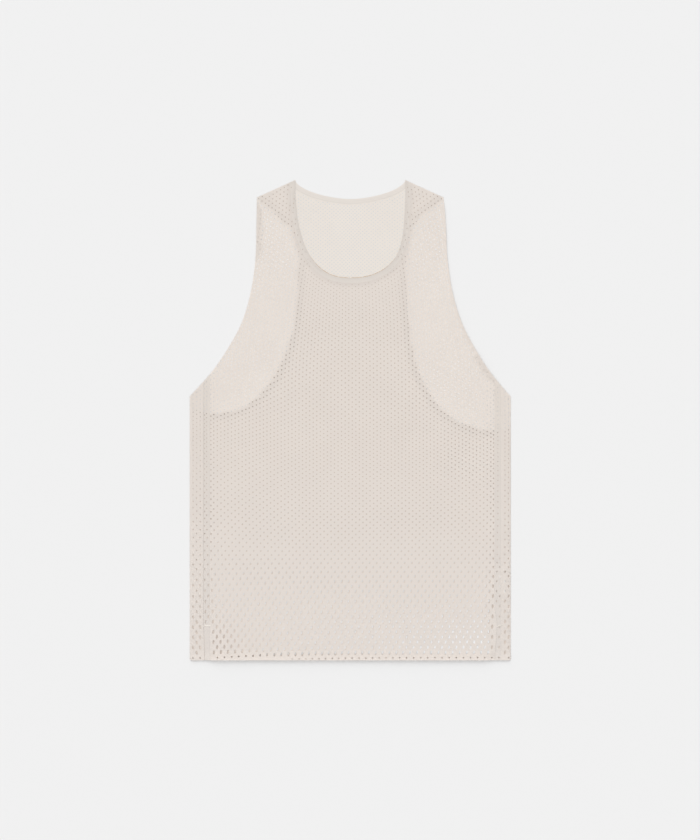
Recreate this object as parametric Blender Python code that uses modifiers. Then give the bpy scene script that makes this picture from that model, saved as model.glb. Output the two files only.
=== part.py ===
# Racer-back running singlet in knit mesh, laid flat on its back.
# +X is the wearer's left, +Y runs from hem to shoulders and +Z points up from the table.
# All sizes below are in millimetres.

import math
from collections import namedtuple

import bmesh
import bpy
from mathutils import Matrix, Vector
from mathutils.geometry import delaunay_2d_cdt
from mathutils.kdtree import KDTree

MM = 0.001

# Driving dimensions of the garment, measured flat
HALF_CHEST = 240.0
LENGTH = 718.5
NECK_HALF_WIDTH = 82.2
FRONT_NECK_DROP = 146.5
BACK_NECK_DROP = 28.4
SHOULDER_HALF_WIDTH = 139.5
SHOULDER_DROP = 26.05
NECK_BAND_WIDTH = 7.5
SEAM_STRIP_WIDTH = 9.2
VENT_HEIGHT = 52.0
VENT_GAP = 2.4

# Cloth
WALL = 1.2
SEAM_GAP = 0.3
BAND_WALL = 1.5
LAYER = WALL + SEAM_GAP

# Bare label inside the side seam at +X
LABEL_WIDTH = 11.0
LABEL_HEIGHT = 32.0
LABEL_WALL = 1.0
LABEL_X = 226.5
LABEL_Y = -244.0
LABEL_CORNER = 0.3

# Mesh density
EDGE_STEP = 9.0
NECK_STEPS = 34
CELL = 17.0
FOLD_STEPS = 6

# The curve of each neckline: 2 is an ellipse and a higher power is squarer
FRONT_NECK_POWER = 2.45
BACK_NECK_POWER = 1.7

# The front neckline swells to one side: how far, and where and how widely along its half turn
FRONT_NECK_SWELL = 7.5
NECK_SWELL_AT = 0.755
NECK_SWELL_REACH = 0.13

# Each seam strip lies on the +X side of its seam line
SEAM_LEFT_X = -219.4
SEAM_RIGHT_X = 216.0

# The front steps down to the table between these reaches beyond the back's armhole edge
STEP_TOP = 2.5
STEP_FOOT = 14.0

HEM_Y = -LENGTH / 2
NECK_Y = LENGTH / 2
FOLD_RADIUS = (LAYER + WALL) / 2
FOLD_X = HALF_CHEST - FOLD_RADIUS
FOLD_ARC = math.pi * FOLD_RADIUS

EdgeRow = namedtuple("EdgeRow", "left_x left_y right_x right_y")
Wave = namedtuple("Wave", "x y length width height turn")

# The front armhole from shoulder tip to underarm. Both layers lie a little askew on the
# table, so their two sides differ.
FRONT_ARMHOLE = [
    EdgeRow(-139.5, 333.2, 139.5, 333.2),
    EdgeRow(-140.2, 290.0, 143.0, 290.0),
    EdgeRow(-141.5, 244.0, 145.0, 244.0),
    EdgeRow(-148.2, 194.9, 152.0, 195.8),
    EdgeRow(-160.7, 150.1, 164.6, 151.5),
    EdgeRow(-179.0, 114.0, 181.8, 115.6),
    EdgeRow(-207.0, 72.3, 208.2, 73.2),
    EdgeRow(-240.0, 35.5, 240.0, 35.3),
]

# The racer back's armhole, from shoulder tip to side fold
BACK_ARMHOLE = [
    EdgeRow(-139.5, 333.2, 139.5, 333.2),
    EdgeRow(-112.0, 307.5, 113.0, 311.0),
    EdgeRow(-89.0, 286.0, 92.0, 286.0),
    EdgeRow(-77.8, 250.0, 84.0, 250.0),
    EdgeRow(-79.0, 195.0, 83.8, 190.0),
    EdgeRow(-86.5, 131.3, 88.5, 134.5),
    EdgeRow(-105.0, 81.8, 100.5, 77.6),
    EdgeRow(-130.0, 44.0, 124.0, 32.0),
    EdgeRow(-158.0, 20.5, 153.0, 2.5),
    EdgeRow(-190.0, 10.5, 193.0, -13.0),
    EdgeRow(-220.0, 12.5, 222.0, -15.0),
    EdgeRow(-FOLD_X, 19.0, FOLD_X, -9.0),
]

# Soft ridges in the front panel: centre, size along and across, height, turn in degrees
WAVES = [
    Wave(-60, 120, 210, 60, 0.8, 25),
    Wave(70, 40, 260, 70, 0.9, -12),
    Wave(-120, -70, 240, 60, 0.9, 14),
    Wave(40, -150, 300, 55, 1.0, 6),
    Wave(-70, -235, 260, 50, 1.1, -8),
    Wave(120, -255, 190, 45, 1.0, 12),
    Wave(0, -325, 330, 40, 0.9, 2),
]

KNIT_COLOR = (0.74, 0.66, 0.60)
BAND_COLOR = (0.70, 0.63, 0.57)
LABEL_COLOR = (0.80, 0.77, 0.73)


def clear_scene():
    for obj in list(bpy.data.objects):
        bpy.data.objects.remove(obj)


def smooth_step(low, high, value):
    t = min(max((value - low) / (high - low), 0.0), 1.0)
    return t * t * (3 - 2 * t)


def shoulder_y(x):
    slope = SHOULDER_DROP / (SHOULDER_HALF_WIDTH - NECK_HALF_WIDTH)
    return NECK_Y - slope * (abs(x) - NECK_HALF_WIDTH)


def curve_through(points, step=EDGE_STEP):
    """A smooth polyline through the points, with a vertex about every step."""
    line = []
    ends = [points[0], *points, points[-1]]
    for a, b, c, d in zip(ends, ends[1:], ends[2:], ends[3:]):
        pieces = max(1, round((c - b).length / step))
        for i in range(pieces):
            t = i / pieces
            bend = (2 * a - 5 * b + 4 * c - d) * t**2
            twist = (3 * b - a - 3 * c + d) * t**3
            line.append(0.5 * (2 * b + (c - a) * t + bend + twist))
    return [*line, points[-1]]


def split_long(line, step):
    """The same polyline with vertices added along its long runs."""
    fine = []
    for a, b in zip(line, line[1:]):
        pieces = max(1, round((b - a).length / step))
        fine += [a.lerp(b, i / pieces) for i in range(pieces)]
    return [*fine, line[-1]]


def moved_sideways(line, distance):
    """The polyline moved to the right of its own direction."""
    moved = []
    for before, here, after in zip([line[0], *line], line, [*line[1:], line[-1]]):
        along = (after - before).normalized()
        moved.append(here + Vector((along.y, -along.x)) * distance)
    return moved


def neckline(drop, power, swell, into_cloth=0.0):
    """A squared ellipse from -X to +X with its swell, moved outwards into the cloth."""
    line = []
    for i in range(NECK_STEPS + 1):
        turn = math.pi * i / NECK_STEPS
        across, down = math.cos(turn), math.sin(turn)
        x = -NECK_HALF_WIDTH * math.copysign(abs(across) ** (2 / power), across)
        line.append(Vector((x, NECK_Y - drop * abs(down) ** (2 / power))))
    swollen = []
    for i, (near, far) in enumerate(zip(line, moved_sideways(line, swell))):
        off = (i / NECK_STEPS - NECK_SWELL_AT) / NECK_SWELL_REACH
        swollen.append(near.lerp(far, math.exp(-(off**2))))
    moved = moved_sideways(swollen, into_cloth)
    return [Vector((p.x, min(p.y, shoulder_y(p.x)))) for p in moved]


def front_neckline(into_cloth=0.0):
    return neckline(FRONT_NECK_DROP, FRONT_NECK_POWER, FRONT_NECK_SWELL, into_cloth)


def back_neckline(into_cloth=0.0):
    return neckline(BACK_NECK_DROP, BACK_NECK_POWER, 0.0, into_cloth)


def armhole(rows, side):
    if side < 0:
        return curve_through([Vector((row.left_x, row.left_y)) for row in rows])
    return curve_through([Vector((row.right_x, row.right_y)) for row in rows])


def front_armhole(side):
    return armhole(FRONT_ARMHOLE, side)


def back_armhole(side):
    return armhole(BACK_ARMHOLE, side)


def front_armhole_y(x):
    """The height of the front armhole's edge where it crosses x."""
    line = front_armhole(math.copysign(1, x))
    for a, b in zip(line, line[1:]):
        if abs(a.x) <= abs(x) <= abs(b.x):
            return a.y + (b.y - a.y) * (x - a.x) / (b.x - a.x)
    return line[-1].y


class ArmholeEdge:
    """One armhole edge of the back panel, to measure distances from."""

    def __init__(self, side):
        self.line = split_long(back_armhole(side), 2.0)
        self.side = side
        self.outside = moved_sideways(self.line, side * -1.0)
        self.tree = KDTree(len(self.line))
        for i, point in enumerate(self.line):
            self.tree.insert(point.to_3d(), i)
        self.tree.balance()

    def beyond(self, x, y):
        """How far a place lies outside the back panel, negative over the panel."""
        nearest, i, _ = self.tree.find((x, y, 0))
        return (Vector((x, y)) - nearest.to_2d()).dot(self.outside[i] - self.line[i])

    def moved(self, reach):
        return moved_sideways(curve_through(self.line[::6]), self.side * -reach)


ARMHOLE_EDGES = {side: ArmholeEdge(side) for side in (-1, 1)}


def lift_of_back(x, y):
    """1 where the back panel or a side fold holds the front up, 0 where it meets the table."""
    beyond = ARMHOLE_EDGES[1 if x > 0 else -1].beyond(x, y)
    by_fold = smooth_step(190, 208, abs(x))
    return max(1 - smooth_step(STEP_TOP, STEP_FOOT, beyond), by_fold)


def wave_height(x, y):
    total = 0.0
    for wave in WAVES:
        turn = math.radians(wave.turn)
        dx, dy = x - wave.x, y - wave.y
        along = (dx * math.cos(turn) + dy * math.sin(turn)) * 2 / wave.length
        across = (dy * math.cos(turn) - dx * math.sin(turn)) * 2 / wave.width
        total += wave.height * math.exp(-(along**2) - across**2)
    return total * (1 - smooth_step(165, 200, abs(x)))


def label_rim(margin_x, margin_y):
    """A closed rectangle round the label."""
    half_x, half_y = LABEL_WIDTH / 2 + margin_x, LABEL_HEIGHT / 2 + margin_y
    corners = [(-1, -1), (1, -1), (1, 1), (-1, 1), (-1, -1)]
    return [Vector((LABEL_X + i * half_x, LABEL_Y + j * half_y)) for i, j in corners]


def label_lift(x, y):
    """The upper layer swells over the label inside it."""
    over_x = max(abs(x - LABEL_X) - LABEL_WIDTH / 2 - 1, 0) / 5
    over_y = max(abs(y - LABEL_Y) - LABEL_HEIGHT / 2 - 1, 0) / 12
    return (LABEL_WALL + SEAM_GAP) * (1 - smooth_step(0, 1, math.hypot(over_x, over_y)))


def front_height(x, y):
    """The underside of every piece in the upper layer."""
    lift = lift_of_back(x, y)
    return (LAYER + wave_height(x, y)) * lift + label_lift(x, y)


def place_front(u, v):
    return Vector((u, v, front_height(u, v)))


def place_flat(u, v):
    return Vector((u, v, 0.0))


def place_back(u, v):
    """u runs across the cloth from centre back, round the side fold and onto the front."""
    side = math.copysign(1, u)
    past_fold = abs(u) - FOLD_X
    if past_fold <= 0:
        return Vector((u, v, 0.0))
    if past_fold < FOLD_ARC:
        turn = past_fold / FOLD_RADIUS
        x = FOLD_X + FOLD_RADIUS * math.sin(turn)
        return Vector((side * x, v, FOLD_RADIUS * (1 - math.cos(turn))))
    x = side * (FOLD_X - (past_fold - FOLD_ARC))
    return Vector((x, v, front_height(x, v) + WALL))


def across_cloth(x):
    """The back panel's u at a place on its strip that wraps onto the front."""
    return math.copysign(2 * FOLD_X + FOLD_ARC - abs(x), x)


def clear_of(point, line, distance):
    for a, b in zip(line, line[1:]):
        run = b - a
        t = min(max((point - a).dot(run) / run.length_squared, 0.0), 1.0)
        if (a + run * t - point).length < distance:
            return False
    return True


def field_points(lines):
    """Staggered points over the outline's box, kept off every line."""
    xs, ys = [p.x for p in lines[0]], [p.y for p in lines[0]]
    rows = max(1, round((max(ys) - min(ys)) / (CELL * 0.87)))
    columns = max(1, round((max(xs) - min(xs)) / CELL))
    found = []
    for row in range(1, rows):
        y = min(ys) + (max(ys) - min(ys)) * row / rows
        for column in range(columns):
            shift = 0.25 if row % 2 else 0.75
            x = min(xs) + (max(xs) - min(xs)) * (column + shift) / columns
            if all(clear_of(Vector((x, y)), line, CELL * 0.45) for line in lines):
                found.append(Vector((x, y)))
    return found


def cloth_surface(name, outline, place, creases=()):
    """A cut outline triangulated flat, with its creases as edges, then placed in space."""
    ring = split_long([*outline, outline[0]], CELL)
    lines = [ring, *[split_long(crease, CELL) for crease in creases]]
    points = ring[:-1]
    edges = []
    for crease in lines[1:]:
        first = len(points)
        points += crease
        edges += [(first + i, first + i + 1) for i in range(len(crease) - 1)]
    points += field_points(lines)
    outline_face = list(range(len(ring) - 1))
    flat, _, faces, _, _, sources = delaunay_2d_cdt(points, edges, [outline_face], 0, 1e-4)
    inside = [face for face, source in zip(faces, sources) if source]
    used = sorted({i for face in inside for i in face})
    index = {old: new for new, old in enumerate(used)}
    mesh = bpy.data.meshes.new(name)
    mesh.from_pydata(
        [place(flat[i].x, flat[i].y) * MM for i in used],
        [],
        [[index[i] for i in face] for face in inside],
    )
    mesh.shade_smooth()
    return mesh


def add_piece(mesh, material, collection):
    obj = bpy.data.objects.new(mesh.name, mesh)
    mesh.materials.append(material)
    collection.objects.link(obj)
    return obj


def add_laid_cloth(mesh, wall, material, collection):
    """A piece of the upper layer or the table: its wall stands straight up from its surface."""
    shape = bmesh.new()
    shape.from_mesh(mesh)
    extruded = bmesh.ops.extrude_face_region(shape, geom=shape.faces[:], use_keep_orig=True)
    tops = [item for item in extruded["geom"] if isinstance(item, bmesh.types.BMVert)]
    bmesh.ops.translate(shape, verts=tops, vec=(0, 0, wall * MM))
    bmesh.ops.recalc_face_normals(shape, faces=shape.faces[:])
    shape.to_mesh(mesh)
    shape.free()
    return add_piece(mesh, material, collection)


def add_wrapped_cloth(mesh, wall, material, collection):
    """A piece that turns round a fold: its wall lies inside its surface."""
    obj = add_piece(mesh, material, collection)
    solidify = obj.modifiers.new("cloth_wall", "SOLIDIFY")
    solidify.thickness = wall * MM
    solidify.offset = 1.0
    solidify.use_even_offset = True
    return obj


def fabric_material(name, color, roughness):
    material = bpy.data.materials.new(name)
    material.use_nodes = True
    shader = material.node_tree.nodes["Principled BSDF"]
    shader.inputs["Base Color"].default_value = (*color, 1.0)
    shader.inputs["Roughness"].default_value = roughness
    shader.inputs["Metallic"].default_value = 0.0
    return material


def front_panel_surface():
    left = SEAM_LEFT_X + SEAM_STRIP_WIDTH + SEAM_GAP
    right = SEAM_RIGHT_X - SEAM_GAP
    neck = front_neckline(NECK_BAND_WIDTH + SEAM_GAP)
    outline = [
        Vector((left, HEM_Y)),
        Vector((right - VENT_GAP, HEM_Y)),
        Vector((right, HEM_Y + VENT_HEIGHT)),
        Vector((right, front_armhole_y(right))),
        *[p for p in reversed(front_armhole(1)) if p.x < right - 3],
        *reversed(neck),
        *[p for p in front_armhole(-1) if p.x > left + 3],
        Vector((left, front_armhole_y(left))),
    ]
    steps = []
    for edge in ARMHOLE_EDGES.values():
        steps += [edge.moved(reach) for reach in (STEP_TOP, (STEP_TOP + STEP_FOOT) / 2, STEP_FOOT)]
    return cloth_surface("front_panel", outline, place_front, steps)


def fold_edge(side, seam_x):
    """The armhole's edge in the cloth, from the side seam round the fold to the back."""
    front = [p for p in front_armhole(side) if abs(seam_x) + 3 < abs(p.x) < FOLD_X - 3]
    line = [Vector((across_cloth(seam_x), front_armhole_y(seam_x)))]
    line += [Vector((across_cloth(p.x), p.y)) for p in front]
    start = front_armhole_y(side * FOLD_X)
    end = back_armhole(side)[-1].y
    for i in range(FOLD_STEPS):
        u = FOLD_X + FOLD_ARC * (1 - i / FOLD_STEPS)
        line.append(Vector((side * u, start + (end - start) * i / FOLD_STEPS)))
    return line


def fold_creases(edge):
    """Straight lines up the fold, from the hem to each of the last points of its edge."""
    return [[Vector((p.x, HEM_Y)), p] for p in edge[-FOLD_STEPS:]]


def back_panel_surface():
    seam_left = SEAM_LEFT_X - SEAM_GAP
    seam_right = SEAM_RIGHT_X + SEAM_STRIP_WIDTH + SEAM_GAP
    edge_left, edge_right = fold_edge(-1, seam_left), fold_edge(1, seam_right)
    outline = [
        Vector((across_cloth(seam_left) + VENT_GAP, HEM_Y)),
        Vector((across_cloth(seam_right), HEM_Y)),
        *edge_right,
        *reversed(back_armhole(1)),
        *reversed(back_neckline(NECK_BAND_WIDTH + SEAM_GAP)),
        *back_armhole(-1),
        *reversed(edge_left),
        Vector((across_cloth(seam_left), HEM_Y + VENT_HEIGHT)),
    ]
    creases = [*fold_creases(edge_left), *fold_creases(edge_right)]
    creases += [[Vector((p.x, HEM_Y)), p] for p in (back_armhole(-1)[-1], back_armhole(1)[-1])]
    creases.append([Vector((across_cloth(p.x), p.y)) for p in label_rim(1, 1)])
    return cloth_surface("back_panel", outline, place_back, creases)


def neck_band_surface(name, line_at, place):
    outline = [*line_at(NECK_BAND_WIDTH), *reversed(line_at())]
    return cloth_surface(name, outline, place)


def side_seam_surface(name, seam_x):
    far_x = seam_x + SEAM_STRIP_WIDTH
    outline = [
        Vector((seam_x, HEM_Y)),
        Vector((far_x, HEM_Y)),
        Vector((far_x, front_armhole_y(far_x))),
        Vector((seam_x, front_armhole_y(seam_x))),
    ]
    return cloth_surface(name, outline, place_front, [label_rim(1, 1)])


def add_side_label(material, collection):
    shape = bmesh.new()
    size = (LABEL_WIDTH * MM, LABEL_HEIGHT * MM, LABEL_WALL * MM, 1.0)
    bmesh.ops.create_cube(shape, size=1.0, matrix=Matrix.Diagonal(size))
    mesh = bpy.data.meshes.new("side_label")
    shape.to_mesh(mesh)
    shape.free()
    mesh.materials.append(material)
    label = bpy.data.objects.new("side_label", mesh)
    label.location = Vector((LABEL_X, LABEL_Y, LAYER + LABEL_WALL / 2)) * MM
    collection.objects.link(label)
    bevel = label.modifiers.new("soft_edges", "BEVEL")
    bevel.width = LABEL_CORNER * MM
    bevel.segments = 1


def build_singlet():
    clear_scene()
    collection = bpy.data.collections.new("running_singlet")
    bpy.context.scene.collection.children.link(collection)
    knit = fabric_material("knit_mesh", KNIT_COLOR, 0.85)
    band = fabric_material("bonded_band", BAND_COLOR, 0.8)
    label = fabric_material("label_cloth", LABEL_COLOR, 0.7)

    add_wrapped_cloth(back_panel_surface(), WALL, knit, collection)
    add_laid_cloth(front_panel_surface(), WALL, knit, collection)
    neck_front = neck_band_surface("neck_band_front", front_neckline, place_front)
    neck_back = neck_band_surface("neck_band_back", back_neckline, place_flat)
    add_laid_cloth(neck_front, BAND_WALL, band, collection)
    add_laid_cloth(neck_back, WALL, band, collection)
    for name, seam_x in (("side_seam_left", SEAM_LEFT_X), ("side_seam_right", SEAM_RIGHT_X)):
        add_laid_cloth(side_seam_surface(name, seam_x), BAND_WALL, band, collection)
    add_side_label(label, collection)


build_singlet()
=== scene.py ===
import math
import random

import bpy
import numpy as np
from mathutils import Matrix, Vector
from mathutils.geometry import delaunay_2d_cdt
from mathutils.kdtree import KDTree


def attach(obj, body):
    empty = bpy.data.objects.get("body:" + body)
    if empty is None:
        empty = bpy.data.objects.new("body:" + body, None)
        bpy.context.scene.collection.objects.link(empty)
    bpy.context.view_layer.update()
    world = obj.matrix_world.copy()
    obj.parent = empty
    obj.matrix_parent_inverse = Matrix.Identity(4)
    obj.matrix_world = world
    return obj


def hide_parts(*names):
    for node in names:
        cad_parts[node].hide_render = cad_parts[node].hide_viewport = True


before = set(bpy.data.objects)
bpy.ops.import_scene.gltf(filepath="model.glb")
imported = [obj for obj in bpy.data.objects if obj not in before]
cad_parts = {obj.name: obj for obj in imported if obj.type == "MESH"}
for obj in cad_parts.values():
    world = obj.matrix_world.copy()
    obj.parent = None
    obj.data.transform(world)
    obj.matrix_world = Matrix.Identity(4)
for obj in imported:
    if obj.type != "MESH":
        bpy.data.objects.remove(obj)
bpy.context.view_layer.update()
scene = bpy.context.scene
mm = 0.001  # everything below is worked out in millimetres
random.seed(7)
print("frame loaded:", ", ".join(sorted(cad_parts)))

# the cut of the singlet, laid flat; +Y runs from hem to shoulders
garment = {
    "halfChest": 240.0,
    "length": 718.5,
    "hemInset": 0.6,  # the raised hem looks that much longer from above
    "neckHalfWidth": 82.2,
    "frontNeckDrop": 146.5,
    "frontNeckPower": 2.45,  # 2 would be an ellipse, more is squarer
    "backNeckDrop": 28.4,
    "backNeckPower": 1.7,
    "neckSwell": 7.5,  # of the front neckline on its right: how far, where and how widely
    "neckSwellAt": 0.755,
    "neckSwellReach": 0.13,
    "shoulderHalfWidth": 139.5,
    "shoulderDrop": 26.05,
    "neckBandWidth": 7.5,
    "seamLeftX": -219.4,  # each seam strip lies on the +X side of its line
    "seamRightX": 216.0,
    "seamStripWidth": 9.2,
    "seamGap": 0.3,
    "stepTop": 0.5,  # past the back's edge the front comes down to the table between these
    "stepFoot": 10.0,
    "sideFade": (190.0, 208.0),  # and beyond these the wraps hold it up again
    "labelX": 226.5, "labelY": -244.0,
    "labelWidth": 11.0, "labelHeight": 32.0, "labelWall": 1.0,
    "labelFade": (5.0, 12.0),  # across and along, over which the cloth comes down beside it
    "frontArmholeLeft": [  # from shoulder tip to underarm
        (-139.5, 333.2), (-140.2, 290.0), (-141.5, 244.0), (-148.2, 194.9),
        (-160.7, 150.1), (-179.0, 114.0), (-207.0, 72.3), (-240.0, 35.5),
    ],
    "frontArmholeRight": [
        (139.5, 333.2), (143.0, 290.0), (145.0, 244.0), (152.0, 195.8),
        (164.6, 151.5), (181.8, 115.6), (208.2, 73.2), (240.0, 35.3),
    ],
    "backArmholeLeft": [  # from shoulder tip to side fold
        (-139.5, 333.2), (-112.0, 307.5), (-89.0, 286.0), (-77.8, 250.0), (-79.0, 195.0),
        (-86.5, 131.3), (-105.0, 81.8), (-130.0, 44.0), (-158.0, 20.5), (-190.0, 10.5),
        (-220.0, 12.5), (-238.65, 19.0),
    ],
    "backArmholeRight": [
        (139.5, 333.2), (113.0, 311.0), (92.0, 286.0), (84.0, 250.0), (83.8, 190.0),
        (88.5, 134.5), (100.5, 77.6), (124.0, 32.0), (153.0, 2.5), (193.0, -13.0),
        (222.0, -15.0), (238.65, -9.0),
    ],
    "waves": [  # soft ridges: x, y, length, width, height, turn in degrees
        (-60, 120, 210, 60, 0.8, 25), (70, 40, 260, 70, 0.9, -12),
        (-120, -70, 240, 60, 0.9, 14), (40, -150, 300, 55, 1.0, 6),
        (-70, -235, 260, 50, 1.1, -8), (120, -255, 190, 45, 1.0, 12),
        (0, -325, 330, 40, 0.9, 2),
    ],
    "waveFade": (165.0, 200.0),  # distances from the middle between which they die out
}
hemY = garment["hemInset"] - garment["length"] / 2
neckY = garment["length"] / 2

# one layer of the knit as it lies: the shell is thinner than its solid and inside it
cloth = {
    "thickness": 0.12,
    "offTable": 0.02,
    "gap": 0.13,  # between the two layers where they lie close
    "foldGap": 0.38,  # and next to the side folds
    "foldNear": (196.0, 219.0),  # distances from the middle between which it grows to that
    "foldInset": 0.03,  # between the folds and the ends of the solid
    "waveShare": 0.12,  # how much of the solid's waves and of its label's swell it shows
    "labelShare": 0.35,
    "ringStep": 3.0,  # between the points of an outline
    "edgeMargin": 0.55,  # cloth left between a hole and a cut edge
    "hemLine": 1.3,  # and between a hole and the hem
    "stationClear": 0.35,  # and between a hole and an extra point
    "seam": 0.06,  # between pieces that are bonded edge to edge
    "puffs": [  # places where the layers part: x, y, reach along x, reach along y, gap
        (-198, -334, 22, 30, 0.7), (165, -335, 45, 45, -0.08), (165, -55, 40, 35, 0.3),
        (233, -320, 14, 50, 0.3),
    ],
    "hemCurl": 3.1,  # rise of the front's hem edge, which rolls up as cut knit does
    "hemReach": 14.0,
    "hemHeld": 0.6,  # how much of that rise the side folds hold down
    "turnRise": 0.4,  # rise over an edge that is turned under
    "turnReach": 6.0,
    "edgeRise": 1.0,  # rise of the right armhole's edge, where the cloth stands off the table
    "edgeReach": 4.5,
    "edgeFoot": (40.0, 80.0),  # heights between which it grows and dies out again
    "edgeHead": (333.0, 315.0),
}
foldRadius = (cloth["foldGap"] + 2 * cloth["thickness"]) / 2
foldX = garment["halfChest"] - cloth["foldInset"] - foldRadius
foldArc = math.pi * foldRadius


def smoothStep(low, high, value):
    t = min(max((value - low) / (high - low), 0.0), 1.0)
    return t * t * (3 - 2 * t)  # high may be the smaller of the two


def between(table, key):
    # straight-line reading of a table whose rows start with a rising key
    if key <= table[0][0]:
        return table[0][1:]
    for a, b in zip(table, table[1:]):
        if key <= b[0]:
            t = (key - a[0]) / (b[0] - a[0])
            return tuple(p + (q - p) * t for p, q in zip(a[1:], b[1:]))
    return table[-1][1:]


def shoulderY(x):
    run = garment["shoulderHalfWidth"] - garment["neckHalfWidth"]
    return neckY - garment["shoulderDrop"] / run * (abs(x) - garment["neckHalfWidth"])


def curveThrough(places, step=3.0):
    points = [Vector(p) for p in places]
    line = []
    ends = [points[0], *points, points[-1]]
    for a, b, c, d in zip(ends, ends[1:], ends[2:], ends[3:]):
        pieces = max(1, round((c - b).length / step))
        for i in range(pieces):
            t = i / pieces
            bend = (2 * a - 5 * b + 4 * c - d) * t**2
            twist = (3 * b - a - 3 * c + d) * t**3
            line.append(0.5 * (2 * b + (c - a) * t + bend + twist))
    return [*line, points[-1]]


def splitLong(line, step):
    fine = []
    for a, b in zip(line, line[1:]):
        pieces = max(1, round((b - a).length / step))
        fine += [a.lerp(b, i / pieces) for i in range(pieces)]
    return [*fine, line[-1]]


def movedSideways(line, distance):
    # by one distance, or by one for each point
    distances = distance if isinstance(distance, list) else [distance] * len(line)
    moved = []
    for before, here, after, by in zip([line[0], *line], line, [*line[1:], line[-1]], distances):
        along = (after - before).normalized()
        moved.append(here + Vector((along.y, -along.x)) * by)
    return moved


def neckline(which, intoCloth=0.0, steps=96):
    drop, power = garment[which + "NeckDrop"], garment[which + "NeckPower"]
    line = []
    for i in range(steps + 1):
        turn = math.pi * i / steps
        across, down = math.cos(turn), math.sin(turn)
        x = -garment["neckHalfWidth"] * math.copysign(abs(across) ** (2 / power), across)
        line.append(Vector((x, neckY - drop * abs(down) ** (2 / power))))
    if which == "front":
        for i, far in enumerate(movedSideways(line, garment["neckSwell"])):
            off = (i / steps - garment["neckSwellAt"]) / garment["neckSwellReach"]
            line[i] = line[i].lerp(far, math.exp(-(off**2)))
    moved = movedSideways(line, intoCloth)
    return [Vector((p.x, min(p.y, shoulderY(p.x)))) for p in moved]


def frontArmhole(side):
    return curveThrough(garment["frontArmholeLeft" if side < 0 else "frontArmholeRight"])


def backArmhole(side):
    return curveThrough(garment["backArmholeLeft" if side < 0 else "backArmholeRight"])


def treeOf(places):
    tree = KDTree(len(places))
    for i, place in enumerate(places):
        tree.insert((place[0], place[1], 0), i)
    tree.balance()
    return tree


armholeLines = {side: frontArmhole(side) for side in (-1, 1)}
armholeTrees = {side: treeOf(splitLong(line, 1.0)) for side, line in armholeLines.items()}


def gapTo(line, p):
    return min((p.to_2d() - q).length for q in line)


def fromArmhole(x, y):
    return armholeTrees[1 if x > 0 else -1].find((x, y, 0))[2]


def frontArmholeY(x):
    line = armholeLines[1 if x > 0 else -1]
    for a, b in zip(line, line[1:]):
        if abs(a.x) <= abs(x) <= abs(b.x):
            return a.y + (b.y - a.y) * (x - a.x) / (b.x - a.x)
    return line[-1].y


# distances beyond the back's armhole edges, for the step where the front meets the table
stepEdges = {}
for side in (-1, 1):
    edgeLine = splitLong(backArmhole(side), 2.0)
    stepEdges[side] = (treeOf(edgeLine), edgeLine, movedSideways(edgeLine, -side))


def beyondBack(x, y):
    # how far a place lies outside the back panel, less than zero over it
    tree, line, outside = stepEdges[1 if x > 0 else -1]
    nearest, i, _ = tree.find((x, y, 0))
    return (Vector((x, y)) - nearest.to_2d()).dot(outside[i] - line[i])


def liftOfBack(x, y):
    step = 1 - smoothStep(garment["stepTop"], garment["stepFoot"], beyondBack(x, y))
    return max(step, smoothStep(*garment["sideFade"], abs(x)))


def waveHeight(x, y):
    total = 0.0
    for wx, wy, length, width, height, degrees in garment["waves"]:
        turn = math.radians(degrees)
        dx, dy = x - wx, y - wy
        along = (dx * math.cos(turn) + dy * math.sin(turn)) * 2 / length
        across = (dy * math.cos(turn) - dx * math.sin(turn)) * 2 / width
        total += height * math.exp(-(along**2) - across**2)
    return total * (1 - smoothStep(*garment["waveFade"], abs(x)))


def labelLift(x, y):
    fadeX, fadeY = garment["labelFade"]
    overX = max(abs(x - garment["labelX"]) - garment["labelWidth"] / 2 - 1, 0) / fadeX
    overY = max(abs(y - garment["labelY"]) - garment["labelHeight"] / 2 - 1, 0) / fadeY
    swell = garment["labelWall"] + garment["seamGap"]
    return swell * (1 - smoothStep(0, 1, math.hypot(overX, overY)))


# slits at the foot of the seam strips: height, edge of the strip, edge of the cloth beside it
vents = {
    "left": [(hemY, -217.3, -217.6), (-307.0, -219.3, -219.6), (-290.0, -219.4, -219.6)],
    "right": [(hemY, 215.9, 215.7), (-307.0, 219.6, 219.45), (-280.0, 216.0, 215.94)],
}

# edges that lie turned under: along one armhole, between two heights, so wide
turnedEdges = {
    "strap_turn_left": {"side": -1, "top": 331.0, "foot": 236.0, "width": 7.0},
    "armhole_turn_right": {"side": 1, "top": 104.0, "foot": 44.0, "width": 8.5},
}


def turnWidth(turn, y):
    middle, half = (turn["top"] + turn["foot"]) / 2, (turn["top"] - turn["foot"]) / 2
    return turn["width"] * (1 - smoothStep(0.55, 1.0, abs(y - middle) / half))


def turnLift(x, y):
    # the front lies higher where its own edge is turned under it
    lift = 0.0
    for turn in turnedEdges.values():
        if x * turn["side"] > 0 and turn["foot"] < y < turn["top"]:
            width = turnWidth(turn, y)
            if width > 0.5:
                past = smoothStep(width, width + cloth["turnReach"], fromArmhole(x, y))
                lift = max(lift, cloth["turnRise"] * (1 - past))
    return lift


def edgeRise(x, y):
    if x < 100 or not cloth["edgeFoot"][0] < y < cloth["edgeHead"][0]:
        return 0.0
    along = smoothStep(*cloth["edgeHead"], y) * smoothStep(*cloth["edgeFoot"], y)
    return cloth["edgeRise"] * along * smoothStep(cloth["edgeReach"], 0, fromArmhole(x, y))


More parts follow.
